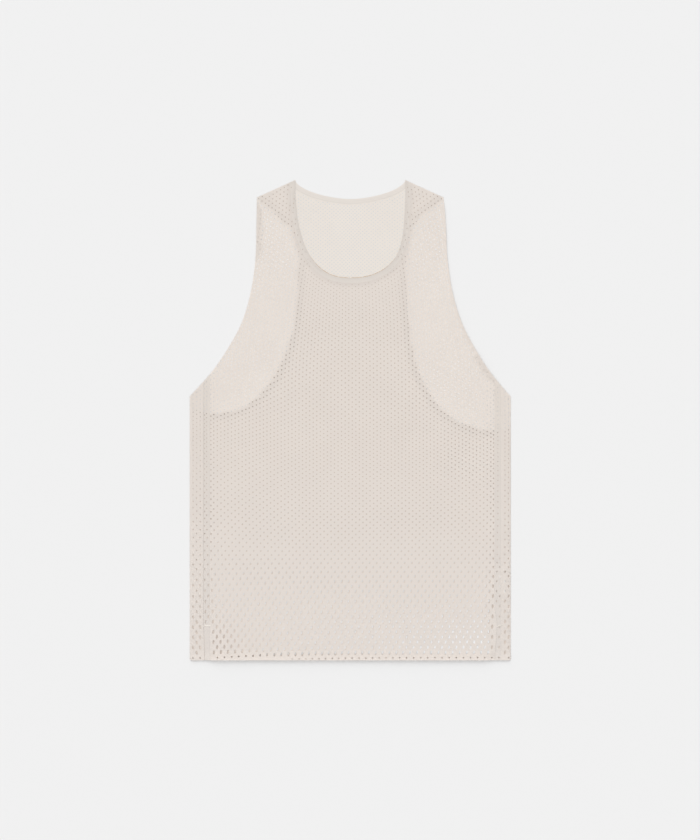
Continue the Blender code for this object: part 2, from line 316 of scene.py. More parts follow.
def layerGap(x, y):
    gap = cloth["gap"]
    for px, py, reachX, reachY, more in cloth["puffs"]:
        gap += more * math.exp(-(((x - px) / reachX) ** 2) - ((y - py) / reachY) ** 2)
    byFold = smoothStep(*cloth["foldNear"], abs(x))
    gap += (cloth["foldGap"] - gap) * byFold
    curl = smoothStep(hemY + cloth["hemReach"], hemY, y) * (1 - cloth["hemHeld"] * byFold)
    return gap + cloth["hemCurl"] * curl


def upperTop(x, y):
    # top skin of every piece in the upper layer
    lift = liftOfBack(x, y)
    over = cloth["thickness"] + layerGap(x, y) + cloth["waveShare"] * waveHeight(x, y)
    swell = labelLift(x, y) * cloth["labelShare"]
    rise = over * lift + swell + turnLift(x, y) * (1 - lift) + edgeRise(x, y)
    return cloth["offTable"] + rise + cloth["thickness"]


def placeUpper(u, v, depth):
    return Vector((u, v, upperTop(u, v) - depth))


def placeTable(u, v, depth):
    return Vector((u, v, cloth["offTable"] + cloth["thickness"] - depth))


def placeBack(u, v, depth):
    # u runs across the cloth from centre back, round the side fold and onto the front
    side = math.copysign(1, u)
    past = abs(u) - foldX
    if past <= 0:
        return Vector((u, v, cloth["offTable"] + depth))
    if past < foldArc:
        turn = past / foldRadius
        reach = foldRadius - depth
        height = cloth["offTable"] + foldRadius - reach * math.cos(turn)
        return Vector((side * (foldX + reach * math.sin(turn)), v, height))
    x = side * (foldX - (past - foldArc))
    return Vector((x, v, upperTop(x, v) - depth))


def acrossCloth(x):
    return math.copysign(2 * foldX + foldArc - abs(x), x)


# the engineered mesh: staggered rows of holes, small at the chest and long at the hem
mesh = {
    "columnPitch": 5.31,
    "columnPhase": 3.0,
    "columnsAside": 26,  # on each side of the middle, in every row
    "lastRow": -355.4,
    "topRow": 366.0,
    "rows": [  # height at centre front, row spacing, hole width, hole height
        (-360, 7.7, 3.3, 6.4), (-284, 7.6, 3.3, 6.2), (-255, 7.5, 3.1, 5.8),
        (-239, 7.4, 3.0, 5.0), (-215, 6.3, 2.7, 3.8), (-194, 5.2, 2.4, 3.1),
        (-149, 4.1, 2.3, 2.6), (-104, 3.65, 2.1, 2.2), (-59, 2.95, 2.0, 2.0),
        (-15, 3.15, 2.0, 2.1), (23, 3.6, 2.1, 2.3), (60, 3.6, 2.1, 2.3), (98, 3.5, 2.1, 2.2),
        (135, 3.1, 2.0, 2.0), (171, 2.9, 1.9, 1.9), (207, 2.85, 1.85, 1.9),
        (243, 3.75, 1.9, 2.1), (277, 3.4, 2.0, 2.3), (360, 3.4, 2.1, 2.5),
    ],
    "slant": -6.0,  # degrees that holes lean
    "slantBelow": -150.0,  # the front's do so below this height
    "hemHole": (2.4, 2.2),  # width and height of the holes that lie in the hem
    "hemFade": (10.0, 5.0),  # heights over its edge between which they shrink to that
    "hemNarrower": 0.92,  # share of its width that a hole cut by the hem keeps
    "shortest": 1.2,  # height that it needs to be cut
    "strapStretch": 0.12,
    "sideSqueeze": 0.10,
    "shoulderSqueeze": 0.20,
    "offSeamsAbove": -250.0,  # height from which the holes lie clear of the seams
    "longHole": 2.9,  # holes longer than this have eight corners, the others six
    "rowsOfBack": [  # the same table for the upper back, which is knitted closer
        (200, 2.8, 1.9, 1.7), (277, 2.7, 1.9, 1.7), (360, 2.7, 1.9, 1.7),
    ],
    "bow": [  # place across the front, how far its rows rise there
        (-229, 28.7), (-192, 23.4), (-157, 16.9), (-123, 9.5), (-90, 3.4), (-45, 0.0),
        (0, 0.0), (44, 0.9), (89, 1.6), (122, 2.5), (157, 5.0), (191, 7.9), (231, 11.7),
    ],
    "bowShare": [  # height, how much of that bow
        (-360, 0.0), (-215, 0.0), (-194, 0.05), (-149, 0.45), (-104, 0.75), (-60, 1.0), (60, 1.0),
        (98, 0.4), (150, 0.0),
    ],
    "hemBow": [  # the same for the open rows near the hem
        (-229, -7.6), (-205, -6.9), (-131, -3.1), (-60, -0.9), (0, 0.0), (125, 0.6), (231, 0.7),
    ],
    "hemShare": [(-360, 1.0), (-260, 1.0), (-219, 0.4), (-190, 0.0)],
    "leanFullAt": 85.0,  # distance from the centre from which the columns lean fully
    "leanLeft": [  # height, how far they have come in towards the centre there
        (-360, -6.0), (-150, 0.0), (60, 0.0), (98, 1.9), (135, 5.6), (171, 9.5),
        (207, 14.1), (243, 19.7), (277, 24.6), (311, 28.2), (360, 32.1),
    ],
    "leanRight": [
        (-360, -4.0), (-150, 0.0), (60, 0.0), (98, 0.5), (135, 1.2), (171, 2.8),
        (207, 6.1), (243, 10.8), (277, 17.1), (311, 23.4), (360, 30.3),
    ],
    "askewAt": (-210, -120, 150),
    "backAskew": [  # height, how far the back's holes lie beside the front's at those places
        (-360, -2.6, 3.6, -0.8, 2.2, -0.3, 2.0), (-350, -2.6, 3.6, -0.9, 1.3, -0.1, 0.2),
        (-325, -2.6, 3.4, -0.9, 1.4, -0.2, 0.4), (-295, -1.6, 2.2, -1.0, 1.4, -0.8, 1.2),
        (-265, -1.2, 1.7, -1.0, 1.4, -1.0, 1.4), (-235, -1.1, 1.6, -1.1, 1.6, -1.1, 1.6),
        (-190, -0.9, 1.5, -0.9, 1.5, -0.9, 1.5), (-120, -0.8, 1.5, -0.8, 1.5, -0.8, 1.5),
        (0, -1.0, 1.6, -1.0, 1.6, -1.0, 1.6),
    ],
    "underWraps": (-208.0, 212.0),  # the wraps cover the front beyond these
    "jitter": 0.10,
    "sizeJitter": 0.03,
}

# holes of the back: on the wraps and under them, and in the neck opening
wrapHoles = {
    "from": 200.0, "pastFold": 1.5, "shiftLeft": 1.0, "clear": 4.5, "slant": 12.0,
    "shares": {-1: 0.76, 1: 0.84}, "hemBelow": -290.0, "hemShare": 0.95, "coveredShare": 0.6,
}
openingHoles = {
    "from": 200.0, "halfWidth": 160.0, "edge": 4.0, "clearUnder": 1.5, "clearShown": 1.3,
    "closer": 0.50, "spread": 0.0010,  # columns at half their pitch, and wider apart outwards
}


def rowHeights(table, y):
    heights = []
    while y < mesh["topRow"]:
        heights.append(y)
        y += between(table, y)[0]
    return heights


def rowColumns(number):
    start = mesh["columnPhase"] + (number % 2) * mesh["columnPitch"]
    aside = mesh["columnsAside"]
    return [start + 2 * k * mesh["columnPitch"] for k in range(-aside, aside + 1)]


def columnShift(x, y):
    inward = between(mesh["leanLeft" if x < 0 else "leanRight"], y)[0]
    return -math.copysign(inward * min(abs(x) / mesh["leanFullAt"], 1.0), x)


def rowLift(x, y):
    lift = between(mesh["bow"], x)[0] * between(mesh["bowShare"], y)[0]
    return lift + between(mesh["hemBow"], x)[0] * between(mesh["hemShare"], y)[0]


def holeStretch(x, y):
    # the cloth is drawn more open at the straps than at the sides and over the back's shoulders
    if y < 0:
        return 1.0
    beyond = beyondBack(x, y)
    if beyond < 0:
        return 1.0 - mesh["shoulderSqueeze"] * smoothStep(150, 200, y)
    stretch = mesh["strapStretch"] * smoothStep(100, 220, y) - mesh["sideSqueeze"]
    return 1.0 + smoothStep(0, 3, beyond) * stretch


def holeSize(rowY, y):
    start, full = mesh["hemFade"]
    inHem = smoothStep(hemY + start, hemY + full, y)
    size = between(mesh["rows"], rowY)[1:]
    return [side + (small - side) * inHem for side, small in zip(size, mesh["hemHole"])]


def frontHoles():
    holes = []
    for number, rowY in enumerate(rowHeights(mesh["rows"], mesh["lastRow"])):
        for x in rowColumns(number):
            y = rowY + rowLift(x, rowY)
            width, height = holeSize(rowY, y)
            laid = x + columnShift(x, rowY)
            size = random.gauss(1.0, mesh["sizeJitter"]) * holeStretch(laid, y)
            holes.append((
                laid + random.gauss(0, mesh["jitter"]), y + random.gauss(0, mesh["jitter"]),
                width * size, height * size, mesh["slant"] if rowY < mesh["slantBelow"] else 0.0,
            ))
    return holes


def smallerHoles(shareAt, least=0.0):
    # the front's holes where tape lies under them; those with too small a share are closed
    holes = []
    for x, y, width, height, slant in frontHoles():
        share = shareAt(y)
        if share > least:
            holes.append((x, y, width * share, height * share, slant))
    return holes


def underWrap(x):
    left, right = mesh["underWraps"]
    return not left < x < right


def askewOfBack(x, y):
    if underWrap(x):  # no two holes meet there
        return math.copysign(mesh["columnPitch"], x) - columnShift(x, y), 0.0
    read = between(mesh["backAskew"], y)
    return between(list(zip(mesh["askewAt"], read[0::2], read[1::2])), x)


def wrappedHole(x, rowY, side):
    # on a wrap, in line with the front's columns
    share = wrapHoles["shares"][side] if rowY > wrapHoles["hemBelow"] else wrapHoles["hemShare"]
    y = rowY + rowLift(x, rowY)
    width, height = holeSize(rowY, y)
    across = acrossCloth(x + (wrapHoles["shiftLeft"] if side < 0 else 0.0))
    return across, y, width * share, height * share, wrapHoles["slant"] * side


def coveredHole(x, rowY):
    # under the front, a little askew to its holes
    askewX, askewY = askewOfBack(x, rowY)
    share = wrapHoles["coveredShare"] if underWrap(x) else 1.0
    y = rowY + rowLift(x, rowY) + askewY
    width, height = holeSize(rowY, y)
    laid = x + columnShift(x, rowY) + askewX
    return laid, y, width * share, height * share, mesh["slant"]


def holesByDepth(holes, ring, wanted):
    depths = depthInside([hole[:2] for hole in holes], ring)
    return [hole for hole, depth in zip(holes, depths) if wanted(depth)]


def backHoles():
    # listed across the cloth, from centre back round the side folds onto the front
    neckRing = neckline("front", openingHoles["edge"])
    covered, wrapped, shown = [], [], []
    for number, rowY in enumerate(rowHeights(mesh["rows"], mesh["lastRow"])):
        for side in (-1, 1):
            columns = [x for x in rowColumns(number) if side * x >= 0]
            onWrap = [x for x in columns if wrapHoles["from"] < abs(x) < foldX + wrapHoles["pastFold"]]
            inRow = [wrappedHole(x, rowY, side) for x in onWrap]
            last = min([foldX, *[abs(hole[0]) - wrapHoles["clear"] for hole in inRow]])
            wrapped += inRow
            covered += [h for h in (coveredHole(x, rowY) for x in columns) if abs(h[0]) < last]
    for number, rowY in enumerate(rowHeights(mesh["rowsOfBack"], openingHoles["from"])):
        _, width, height = between(mesh["rowsOfBack"], rowY)
        for x in rowColumns(number):
            if abs(x) < openingHoles["halfWidth"]:
                closer = openingHoles["closer"] + openingHoles["spread"] * abs(x)
                shown.append((x * closer, rowY, width, height, 0.0))
    holes = holesByDepth(covered, neckRing, lambda depth: depth < -openingHoles["clearUnder"])
    holes += wrapped
    holes += holesByDepth(shown, neckRing, lambda depth: depth > openingHoles["clearShown"])
    loose = []
    for x, y, width, height, slant in holes:
        size = random.gauss(1.0, mesh["sizeJitter"])
        x += random.gauss(0, mesh["jitter"])
        y += random.gauss(0, mesh["jitter"])
        loose.append((x, y, width * size, height * size, slant))
    return loose


def holeCorners(hole):
    x, y, width, height, degrees = hole
    count = 8 if height > mesh["longHole"] else 6
    turn = math.radians(degrees)
    corners = []
    for i in range(count):
        angle = 2 * math.pi * (i + 0.5 * (count == 8)) / count
        a, b = width / 2 * math.cos(angle), height / 2 * math.sin(angle)
        if count == 6:  # a little larger, so that it has the oval's area
            a, b = a * 1.05, b * 1.05
        corners.append(Vector((
            x + a * math.cos(turn) - b * math.sin(turn),
            y + a * math.sin(turn) + b * math.cos(turn),
        )))
    return corners


def depthInside(places, ring):
    # how far each place lies inside the ring, less than zero outside it
    p = np.array(places)
    a = np.array([tuple(q) for q in ring])
    b = np.roll(a, -1, axis=0)
    crossings = np.zeros(len(p), int)
    nearest = np.full(len(p), 1e9)
    for (ax, ay), (bx, by) in zip(a, b):
        if ay != by:
            spans = (p[:, 1] >= min(ay, by)) & (p[:, 1] < max(ay, by))
            crossings += spans & (p[:, 0] < ax + (p[:, 1] - ay) * (bx - ax) / (by - ay))
        run = np.array([bx - ax, by - ay])
        t = np.clip(((p - (ax, ay)) @ run) / max(run @ run, 1e-9), 0, 1)
        nearest = np.minimum(nearest, np.hypot(*(p - (ax, ay) - t[:, None] * run).T))
    return np.where(crossings % 2 == 1, nearest, -nearest)


def besideSeams(hole, low, high, outside=0.0):
    # a hole that a seam would cut lies just inside it
    x, y, width, height, slant = hole
    inset = width / 2 + cloth["edgeMargin"] + 0.15
    if low - outside < x < low + inset:
        x = low + inset
    if high - inset < x < high:
        x = high - inset
    return x, y, width, height, slant


def trimmedAtHem(hole):
    # a hole that the hem cuts ends at the edge line
    x, y, width, height, slant = hole
    foot, head = hemY + cloth["hemLine"], y + height / 2
    if y - height / 2 > foot or head < foot + mesh["shortest"]:
        return hole
    return x, (foot + head) / 2, width * mesh["hemNarrower"], head - foot, 0.0


def holesWithin(holes, ring):
    holes = [trimmedAtHem(hole) for hole in holes]
    kept, unsure = [], []
    for hole, depth in zip(holes, depthInside([h[:2] for h in holes], ring)):
        if depth > max(hole[2:4]) / 2 + cloth["edgeMargin"] + 0.1:
            kept.append(hole)
        elif depth > min(hole[2:4]) / 2:
            unsure.append(hole)
    corners = [tuple(corner) for hole in unsure for corner in holeCorners(hole)]
    depths = list(depthInside(corners, ring)) if corners else []
    for hole in unsure:
        count = len(holeCorners(hole))
        if min(depths[:count]) > cloth["edgeMargin"]:
            kept.append(hole)
        depths = depths[count:]
    return kept


def addObject(name, data):
    obj = bpy.data.objects.new(name, data)
    scene.collection.objects.link(obj)
    return obj


def shellObject(name, outer, inner, faces, flip, material):
    # a closed thin shell from two skins with the same faces
    count = len(outer)
    turned = [face[::-1] for face in faces]
    outerFaces, innerFaces = (turned, faces) if flip else (faces, turned)
    rims = {}
    for face in outerFaces:
        for a, b in zip(face, face[1:] + face[:1]):
            if (b, a) in rims:
                del rims[(b, a)]
            else:
                rims[(a, b)] = True
    walls = [(b, a, a + count, b + count) for a, b in rims]
    data = bpy.data.meshes.new(name)
    data.from_pydata(
        [p * mm for p in outer] + [p * mm for p in inner], [],
        [*outerFaces, *[tuple(i + count for i in face) for face in innerFaces], *walls],
    )
    data.shade_smooth()
    data.set_sharp_from_angle(angle=math.radians(50))  # cut rims stay crisp, skins stay soft
    data.materials.append(material)
    print(f"{name}: {sum(len(p.vertices) - 2 for p in data.polygons)} triangles")
    return addObject(name, data)


def perforatedSheet(name, outline, holes, place, material, thickness, flip=False, stations=()):
    # cut the outline and its holes flat, then lay the cloth in place; stations are extra points
    # that let it bend smoothly
    ring = splitLong([*outline, outline[0]], cloth["ringStep"])[:-1]
    if sum(a.x * b.y - b.x * a.y for a, b in zip(ring, ring[1:] + ring[:1])) < 0:
        ring = ring[::-1]
    holes = holesWithin(holes, ring)
    points, owner, edges = list(ring), [-1] * len(ring), []
    for number, hole in enumerate(holes):
        first, corners = len(points), holeCorners(hole)
        points += corners
        owner += [number] * len(corners)
        edges += [(first + i, first + (i + 1) % len(corners)) for i in range(len(corners))]
    if stations:
        tree = treeOf(holes)
        for station, depth in zip(stations, depthInside([tuple(s) for s in stations], ring)):
            _, number, distance = tree.find((station.x, station.y, 0))
            if depth > 0.5 and distance > max(holes[number][2:4]) / 2 + cloth["stationClear"]:
                points.append(station)
                owner.append(-1)
    cut = delaunay_2d_cdt(points, edges, [list(range(len(ring)))], 0, 1e-4)
    flat, faces, sources, owners = cut[0], cut[2], cut[5], cut[3]
    held = [owner[found[0]] if found else -1 for found in owners]
    kept = []
    for face, source in zip(faces, sources):
        a, b, c = face
        if source and not (held[a] >= 0 and held[a] == held[b] == held[c]):
            kept.append((a, b, c))
    used = sorted({i for face in kept for i in face})
    index = {old: new for new, old in enumerate(used)}
    kept = [tuple(index[i] for i in face) for face in kept]
    outer = [place(flat[i].x, flat[i].y, 0.0) for i in used]
    inner = [place(flat[i].x, flat[i].y, thickness) for i in used]
    print(f"{name}: {len(holes)} holes")
    return shellObject(name, outer, inner, kept, flip, material)


def ribbon(name, lines, tops, thicknesses, place, material):
    # a long piece whose section is given line by line across its width
    rows, length = len(lines), len(lines[0])
    faces = []
    for r in range(rows - 1):
        for i in range(length - 1):
            a, b = r * length + i, (r + 1) * length + i
            faces.append((a, b, b + 1, a + 1))
    outer, inner = [], []
    for line, top, thickness in zip(lines, tops, thicknesses):
        for p in line:
            outer.append(place(p.x, p.y, -top))
            inner.append(place(p.x, p.y, thickness - top))
    return shellObject(name, outer, inner, faces, False, material)


def linear(hexColor):
    # an sRGB hex value as the linear colour that the shaders take
    channels = [int(hexColor[i:i + 2], 16) / 255 for i in (1, 3, 5)]
    return (*[c / 12.92 if c <= 0.04045 else ((c + 0.055) / 1.055) ** 2.4 for c in channels], 1.0)


def addNode(tree, kind, settings=None, links=None):
    node = tree.nodes.new(kind)
    for key, value in (settings or {}).items():
        if isinstance(key, int) or key in node.inputs:
            node.inputs[key].default_value = value
        else:
            setattr(node, key, value)
    for key, socket in (links or {}).items():
        tree.links.new(socket, node.inputs[key])
    return node


def newMaterial(name, roughness, sheen=0.0):
    material = bpy.data.materials.new(name)
    material.use_nodes = True
    shader = material.node_tree.nodes["Principled BSDF"]
    shader.inputs["Roughness"].default_value = roughness
    shader.inputs["IOR"].default_value = 1.5
    shader.inputs["Sheen Weight"].default_value = sheen
    shader.inputs["Sheen Roughness"].default_value = 0.5
    return material, material.node_tree, shader


# polyester mesh: warp knit, heat set and left undyed, so it is matt, warm white and faintly ribbed,
# and thin enough to let some light through
knitLook = {
    "pale": "#f2ebe4",
    "deep": "#ede5de",
    "hem": "#efe8e2",  # the open mesh near the hem is a little cooler
    "paintedTone": "#e0d8d1",  # painted shade, mixed in over other layers, over edges, on the rolled hem and on the wraps
    "hemFrom": -40.0,
    "hemTo": -300.0,
    "patch": 55.0,  # mm across the slow changes of shade
    "wale": 1.33,  # mm between ribs; real ones are near 0.6, drawn coarser so that they show
    "course": 0.95,
    "relief": 0.10,
    "loopDepth": 0.15,
    "roughness": 0.85,
    "sheen": 0.05,
    "seeThrough": 0.30,
}

# the knit's reverse, seen in the neck opening: smoother, so a little paler
reverseLook = {
    **knitLook, "pale": "#f2ece5", "deep": "#eee8e1", "hem": "#f2ece5", "paintedTone": "#f2ece5",
    "relief": 0.05,
}

# painted shade on the back's inner face under the front: deeper and browner, less so near the hem, and
# deeper still along the armhole edges, at the shoulders and by the seams
shadedLook = {
    **reverseLook, "pale": "#ded2c7", "deep": "#d9ccc1", "hem": "#e8ddd3", "paintedTone": "#bcb0a5",
    "hemFrom": -150.0, "hemTo": -260.0,
}

# bonded edge: knit pressed under a heat-set tape, so its ribs are flattened and it is a little greyer
bandLook = {
    **knitLook, "pale": "#e2dbd4", "deep": "#ddd6cf", "hem": "#e2dbd4", "paintedTone": "#e9e2db",
    "relief": 0.05, "roughness": 0.75, "seeThrough": 0.25,
}
seamLook = {**bandLook, "pale": "#e9e2da", "deep": "#e4dcd5", "hem": "#e5ded8"}
backBandLook = {**bandLook, "pale": "#e4ddd6", "deep": "#dfd8d1", "seeThrough": 0.15}

# woven satin label, bare: fine floats across it give a soft gloss
labelLook = {
    **knitLook, "pale": "#dddad6", "deep": "#d8d5d1", "hem": "#dddad6", "patch": 20.0,
    "wale": 0.5, "course": 0.35, "relief": 0.05, "roughness": 0.5, "seeThrough": 0.0,
}

# a thin amber-brown strip with a slight gloss, for the dark line along the foot of the neck band's edge
darkStripLook = {
    **knitLook, "pale": "#cdb9a2", "deep": "#bea68c", "hem": "#cdb9a2", "patch": 9.0,
    "relief": 0.02, "roughness": 0.4, "seeThrough": 0.0,
}

# trilobal polyester sewing thread, twisted, so a soft highlight runs along each stitch
threadLook = {
    **knitLook, "pale": "#ece6de", "deep": "#e6e0d8", "hem": "#ece6de", "patch": 8.0,
    "wale": 0.4, "course": 0.3, "relief": 0.05, "roughness": 0.45, "seeThrough": 0.0,
}


def clothMaterial(name, look):
    material, tree, shader = newMaterial(name, look["roughness"], look["sheen"])
    where = addNode(tree, "ShaderNodeTexCoord").outputs["Object"]
    patches = addNode(
        tree, "ShaderNodeTexNoise", {"Scale": 1000 / look["patch"], "Detail": 2.0}, {"Vector": where}
    )
    shade = addNode(
        tree, "ShaderNodeMix",
        {"data_type": "RGBA", 6: linear(look["pale"]), 7: linear(look["deep"])},
        {0: patches.outputs["Fac"]},
    )
    height = addNode(tree, "ShaderNodeSeparateXYZ", links={0: where}).outputs["Y"]
    low = addNode(
        tree, "ShaderNodeMapRange",
        {"From Min": look["hemFrom"] * mm, "From Max": look["hemTo"] * mm}, {"Value": height},
    )
    colour = addNode(
        tree, "ShaderNodeMix", {"data_type": "RGBA", 7: linear(look["hem"])},
        {0: low.outputs[0], 6: shade.outputs[2]},
    ).outputs[2]
    # painted shade (on the neck band a paler tone), mixed in by a share stored on each point
    share = addNode(tree, "ShaderNodeAttribute", {"attribute_name": "paintedTone"}).outputs["Fac"]
    colour = addNode(
        tree, "ShaderNodeMix", {"data_type": "RGBA", 7: linear(look["paintedTone"])},
        {0: share, 6: colour},
    ).outputs[2]
    tree.links.new(colour, shader.inputs["Base Color"])
    wave = {"Distortion": 0.6, "Detail": 1.0}
    onePerMm = 0.314 * 1000  # wave texture scale that repeats once in each millimetre
    ribs = addNode(
        tree, "ShaderNodeTexWave",
        {"Scale": onePerMm / look["wale"], "bands_direction": "X", **wave}, {"Vector": where},
    )
    rows = addNode(
        tree, "ShaderNodeTexWave",
        {"Scale": onePerMm / look["course"], "bands_direction": "Y", **wave}, {"Vector": where},
    )
    loops = addNode(
        tree, "ShaderNodeMath", {"operation": "MULTIPLY"},
        {0: ribs.outputs["Fac"], 1: rows.outputs["Fac"]},
    )
    bump = addNode(
        tree, "ShaderNodeBump",
        {"Strength": look["relief"], "Distance": look["loopDepth"] * mm}, {"Height": loops.outputs[0]},
    )
    tree.links.new(bump.outputs["Normal"], shader.inputs["Normal"])
    if look["seeThrough"]:
        glow = addNode(tree, "ShaderNodeBsdfTranslucent", links={"Color": colour})
        both = addNode(
            tree, "ShaderNodeMixShader", {0: look["seeThrough"]},
            {1: shader.outputs[0], 2: glow.outputs[0]},
        )
        tree.links.new(both.outputs[0], tree.nodes["Material Output"].inputs["Surface"])
    return material


knitCloth = clothMaterial("warpKnitPolyesterMesh", knitLook)
knitReverse = clothMaterial("warpKnitReverse", reverseLook)
knitInShade = clothMaterial("warpKnitInShade", shadedLook)
bondedTape = clothMaterial("heatBondedTape", bandLook)
seamTape = clothMaterial("heatBondedSeam", seamLook)
backTape = clothMaterial("heatBondedTapeReverse", backBandLook)
satinLabel = clothMaterial("wovenSatinLabel", labelLook)
sewingThread = clothMaterial("polyesterThread", threadLook)
darkStripMaterial = clothMaterial("darkEdgeStrip", darkStripLook)
print("materials made")

# the camera looks straight down, far enough for the photograph's frame
view = {"lens": 85.0, "distance": 2966.0, "x": -0.37, "y": 0.37}
cameraData = bpy.data.cameras.new("camera")
cameraData.lens = view["lens"]
camera = addObject("camera", cameraData)
camera.location = Vector((view["x"], view["y"], view["distance"])) * mm
scene.camera = camera

# plain paper floor, a soft key light from beyond the shoulders and an even pale surround
studio = {
    "floor": "#e0e0e0",
    "floorReach": 20,  # metres to each side
    "surround": 0.971,
    "key": 1.48,
    "keyAngle": 40.0,
    "keyFrom": (-0.40, 1.0, 0.50),
}
floorMaterial, _, floorShader = newMaterial("mattePaper", 0.9)
floorShader.inputs["Base Color"].default_value = linear(studio["floor"])
floorMesh = bpy.data.meshes.new("floor")
reach = studio["floorReach"]
floorCorners = [(-reach, -reach, 0), (reach, -reach, 0), (reach, reach, 0), (-reach, reach, 0)]
floorMesh.from_pydata(floorCorners, [], [(0, 1, 2, 3)])
floorMesh.materials.append(floorMaterial)
floor = addObject("floor", floorMesh)
keyData = bpy.data.lights.new("key", "SUN")
keyData.energy = studio["key"]
keyData.angle = math.radians(studio["keyAngle"])
keyLight = addObject("key", keyData)
keyLight.rotation_mode = "QUATERNION"
keyLight.rotation_quaternion = (-Vector(studio["keyFrom"])).to_track_quat("-Z", "Y")
world = bpy.data.worlds.new("surround")
world.use_nodes = True
world.node_tree.nodes["Background"].inputs["Color"].default_value = (1, 1, 1, 1)
world.node_tree.nodes["Background"].inputs["Strength"].default_value = studio["surround"]
scene.world = world
scene.view_settings.view_transform = "Standard"
print("camera, floor and lights set")

# front: one cut piece between the two side seams
thick, seam = cloth["thickness"], cloth["seam"]
cornerClear = 1.5  # an armhole's curve ends this far before a corner of the outline
frontLeft = garment["seamLeftX"] + garment["seamStripWidth"] + seam
frontRight = garment["seamRightX"] - seam
frontOutline = [
    Vector((frontLeft, hemY)),
    *[Vector((beside, y)) for y, _, beside in vents["right"]],
    Vector((frontRight, frontArmholeY(frontRight))),
    *[p for p in reversed(armholeLines[1]) if p.x < frontRight - cornerClear],
    *reversed(neckline("front", garment["neckBandWidth"] + seam)),
    *[p for p in armholeLines[-1] if p.x > frontLeft + cornerClear],
    Vector((frontLeft, frontArmholeY(frontLeft))),
]
hemRises = (1.5, 3.5, 6.0, 9.0)
hemStations = [  # extra points for the rolled hem
    Vector((frontLeft + 1 + cloth["ringStep"] * i, hemY + rise))
    for i in range(int((frontRight - frontLeft) / cloth["ringStep"])) for rise in hemRises
]
openHoles = [
    besideSeams(h, frontLeft, frontRight) if h[1] > mesh["offSeamsAbove"] else h for h in frontHoles()
]
openHoles = [h for h in openHoles if edgeRise(h[0], h[1]) < 0.1]  # none along the standing edge
frontPiece = perforatedSheet(
    "front_mesh", frontOutline, openHoles, placeUpper, knitCloth, thick, False, hemStations
)
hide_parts("front_panel")

# how strongly the painted shade shows at each place on the front, and over how many mm it fades
paintedTone = {
    "hem": 0.55,  # painted shade against the extra key light that the rolled hem takes
    "overBack": 0.13,  # painted shade where it lies on the back, most along the back's armholes
    "backFade": (-1.0, 3.0),
    "overEdge": 0.34,
    "edgeFade": (17.0, 5.0),
    "armholesFrom": -30.0,
    "turned": 0.4,
    "standing": 0.3,
    "neck": 0.6,
    "neckFade": 10.0,
    "neckNear": (115.0, 180.0),  # half width and foot of the area in which the neck is near
}


# store on each point the share of the painted tone that the material mixes in
def markPaintedTone(piece, shareAt):
    marks = piece.data.attributes.new("paintedTone", "FLOAT", "POINT")
    for vertex, mark in zip(piece.data.vertices, marks.data):
        mark.value = shareAt(vertex.co / mm)


# painted shade on the rolled hem, over the back, over turned edges and along the standing edge, and a
# darker ring round the neck band
def paintedShadeOnFront(p):
    fromHem = p.y - hemY
    slope = max(fromHem * (cloth["hemReach"] - fromHem) * 4 / cloth["hemReach"] ** 2, 0)
    share = paintedTone["hem"] * slope
    over = -beyondBack(p.x, p.y)
    byArmholes = p.y > paintedTone["armholesFrom"]
    onBack = smoothStep(*paintedTone["backFade"], over) if byArmholes else 1.0
    share = max(share, paintedTone["overBack"] * onBack)
    if byArmholes and over > 0:
        share = max(share, paintedTone["overEdge"] * smoothStep(*paintedTone["edgeFade"], over))
    for turn in turnedEdges.values():
        if p.x * turn["side"] > 0 and turn["foot"] < p.y < turn["top"]:
            width = turnWidth(turn, p.y)
            off = fromArmhole(p.x, p.y)
            share = max(share, paintedTone["turned"] * smoothStep(width + 1, width - 1, off))
    share = max(share, paintedTone["standing"] * edgeRise(p.x, p.y) / cloth["edgeRise"])
    halfWidth, foot = paintedTone["neckNear"]
    if p.y > foot and abs(p.x) < halfWidth:
        off = gapTo(neckBandEdge, p)
        share = max(share, paintedTone["neck"] * smoothStep(paintedTone["neckFade"], 0, off))
    return share


neckBandEdge = neckline("front", garment["neckBandWidth"])
markPaintedTone(frontPiece, paintedShadeOnFront)

# back: one cut piece that wraps round both folds onto the front
seamRight = garment["seamRightX"] + garment["seamStripWidth"] + seam


def foldEdge(side, seamX):
    front = [p for p in armholeLines[side] if abs(seamX) + cornerClear < abs(p.x) < foldX - cornerClear]
    line = [Vector((acrossCloth(seamX), frontArmholeY(seamX)))]
    line += [Vector((acrossCloth(p.x), p.y)) for p in front]
    start, end, steps = frontArmholeY(side * foldX), backArmhole(side)[-1].y, 8
    for i in range(steps):
        x = side * (foldX + foldArc * (1 - i / steps))
        line.append(Vector((x, start + (end - start) * i / steps)))
    return line


backOutline = [
    Vector((acrossCloth(vents["left"][0][2]), hemY)),
    Vector((acrossCloth(seamRight), hemY)),
    *foldEdge(1, seamRight),
    *reversed(backArmhole(1)),
    *reversed(neckline("back", garment["neckBandWidth"] + seam)),
    *backArmhole(-1),
    *reversed(foldEdge(-1, vents["left"][-1][2])),
    *[Vector((acrossCloth(beside), y)) for y, _, beside in reversed(vents["left"][1:])],
]
# extra points for the round side folds
foldNet = {"rows": 110, "rise": 3.5, "across": 6}
foldStations = []
for side in (-1, 1):
    for row in range(foldNet["rows"]):
        for step in range(foldNet["across"] + 1):
            x = side * (foldX + foldArc * step / foldNet["across"])
            foldStations.append(Vector((x, hemY + foldNet["rise"] * (row + 0.5 * (step % 2)))))
backPiece = perforatedSheet(
    "back_mesh", backOutline, backHoles(), placeBack, knitCloth, thick, True, foldStations
)
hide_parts("back_panel")

# shares of painted shade for the back: a little on its wraps, and on its inner face by its armholes, at
# its shoulders and at the seams
backPaintedShade = {
    "wraps": 0.22, "armhole": 0.8, "armholeFade": (15.0, 3.0),
    "shoulders": 0.3, "shoulderFade": (150.0, 230.0),
    "seams": 0.35, "seamsAt": 208.5, "seamFade": (5.0, 2.5), "seamTop": (0.0, -40.0),
}
